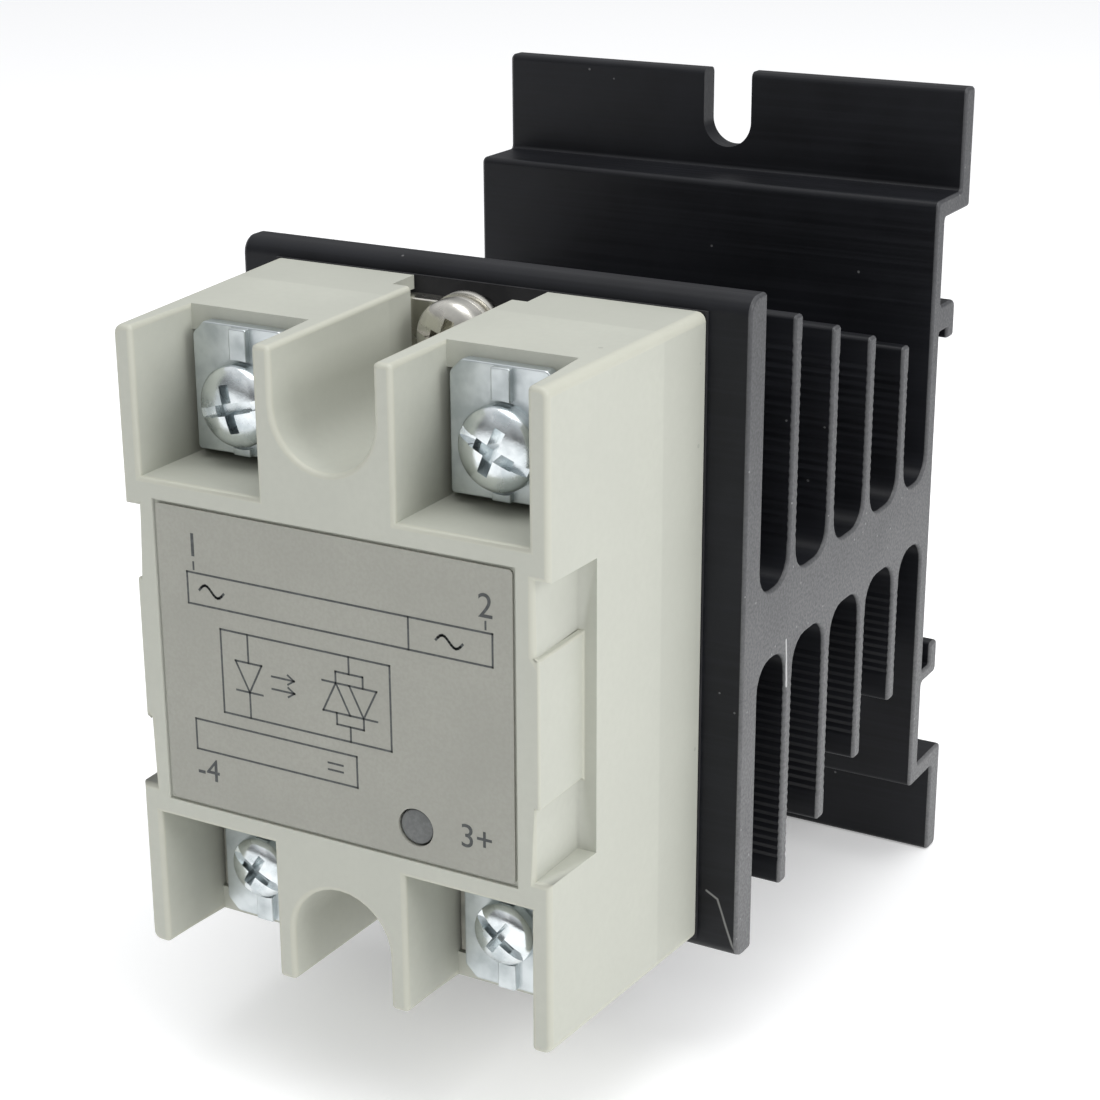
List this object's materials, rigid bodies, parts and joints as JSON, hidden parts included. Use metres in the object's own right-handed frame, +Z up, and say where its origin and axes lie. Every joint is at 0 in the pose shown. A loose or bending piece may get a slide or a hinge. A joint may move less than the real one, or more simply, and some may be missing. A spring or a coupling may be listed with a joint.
{
  "type": "solid state relay",
  "caption": "Solid state relay: grey moulded switching block with screw terminals above and below, bolted to a finned black heat sink for panel or rail mounting.",
  "frame": {"origin": "centre of the whole unit's box; the mounting plane is 37.2 mm behind it", "axes": "+X across the width towards the right seen from the front, +Z up, +Y towards the panel or rail"},
  "size_m": [0.05, 0.0744, 0.08],
  "materials": {
    "black_anodised": "black anodised, satin",
    "thermal_pad": "thin soft graphite pad",
    "nickel_plate": "nickel plated",
    "grey_moulding": "moulded, fine satin",
    "label_film": "printed satin film",
    "window_lens": "dark tinted lens",
    "led_epoxy": "red tinted epoxy",
    "board_laminate": "green glass laminate",
    "component_black": "moulded black epoxy",
    "capacitor_case": "dipped film capacitor",
    "resistor_coat": "lacquered resistor body",
    "white_ceramic": "alumina with copper lands",
    "chip_metal": "metallised silicon",
    "potting_resin": "cast epoxy",
    "terminal_metal": "tin plated copper alloy",
    "zinc_plate": "bright zinc plated"
  },
  "bodies": {
    "heat_sink_and_relay": {"heat_sink": "black_anodised", "thermal_pad": "thermal_pad", "relay_base_plate": "nickel_plate", "relay_housing": "grey_moulding", "front_label": "label_film", "led_window": "window_lens", "status_led": "led_epoxy", "control_board": "board_laminate", "optocoupler": "component_black", "snubber_capacitor": "capacitor_case", "limiter_transistor": "component_black", "snubber_resistor": "resistor_coat", "input_resistor": "resistor_coat", "ceramic_substrate": "white_ceramic", "thyristor_chip_1": "chip_metal", "thyristor_chip_2": "chip_metal", "potting_resin": "potting_resin", "terminal_load_1": "terminal_metal", "terminal_load_2": "terminal_metal", "terminal_input_3": "terminal_metal", "terminal_input_4": "terminal_metal", "flat_washer_upper": "nickel_plate", "lock_washer_upper": "nickel_plate", "mounting_screw_upper": "nickel_plate", "flat_washer_lower": "nickel_plate", "lock_washer_lower": "nickel_plate", "mounting_screw_lower": "nickel_plate"},
    "clamp_load_1": {"clamp_plate_load_1": "zinc_plate"},
    "screw_load_1": {"terminal_screw_load_1": "zinc_plate"},
    "clamp_load_2": {"clamp_plate_load_2": "zinc_plate"},
    "screw_load_2": {"terminal_screw_load_2": "zinc_plate"},
    "clamp_input_3": {"clamp_plate_input_3": "zinc_plate"},
    "screw_input_3": {"terminal_screw_input_3": "zinc_plate"},
    "clamp_input_4": {"clamp_plate_input_4": "zinc_plate"},
    "screw_input_4": {"terminal_screw_input_4": "zinc_plate"}
  },
  "joints": [
    {"name": "lift_load_1", "type": "slide", "parent": "heat_sink_and_relay", "child": "clamp_load_1", "axis": [0, -1, 0], "range_m": [0, 0.00225]},
    {"name": "turn_load_1", "type": "hinge", "parent": "clamp_load_1", "child": "screw_load_1", "pos_m": [-0.0124, -0.0305, 0.0205], "axis": [0, -1, 0], "range_deg": [0, 1350]},
    {"name": "lift_load_2", "type": "slide", "parent": "heat_sink_and_relay", "child": "clamp_load_2", "axis": [0, -1, 0], "range_m": [0, 0.00225]},
    {"name": "turn_load_2", "type": "hinge", "parent": "clamp_load_2", "child": "screw_load_2", "pos_m": [0.0124, -0.0305, 0.0205], "axis": [0, -1, 0], "range_deg": [0, 1350]},
    {"name": "lift_input_3", "type": "slide", "parent": "heat_sink_and_relay", "child": "clamp_input_3", "axis": [0, -1, 0], "range_m": [0, 0.00187]},
    {"name": "turn_input_3", "type": "hinge", "parent": "clamp_input_3", "child": "screw_input_3", "pos_m": [0.0124, -0.0305, -0.0215], "axis": [0, -1, 0], "range_deg": [0, 1350]},
    {"name": "lift_input_4", "type": "slide", "parent": "heat_sink_and_relay", "child": "clamp_input_4", "axis": [0, -1, 0], "range_m": [0, 0.00187]},
    {"name": "turn_input_4", "type": "hinge", "parent": "clamp_input_4", "child": "screw_input_4", "pos_m": [-0.0124, -0.0305, -0.0215], "axis": [0, -1, 0], "range_deg": [0, 1350]}
  ],
  "couplings": [
    {"joint": "turn_load_1", "follows": "lift_load_1", "rad_per_m": 10472},
    {"joint": "turn_load_2", "follows": "lift_load_2", "rad_per_m": 10472},
    {"joint": "turn_input_3", "follows": "lift_input_3", "rad_per_m": 12566},
    {"joint": "turn_input_4", "follows": "lift_input_4", "rad_per_m": 12566}
  ]
}
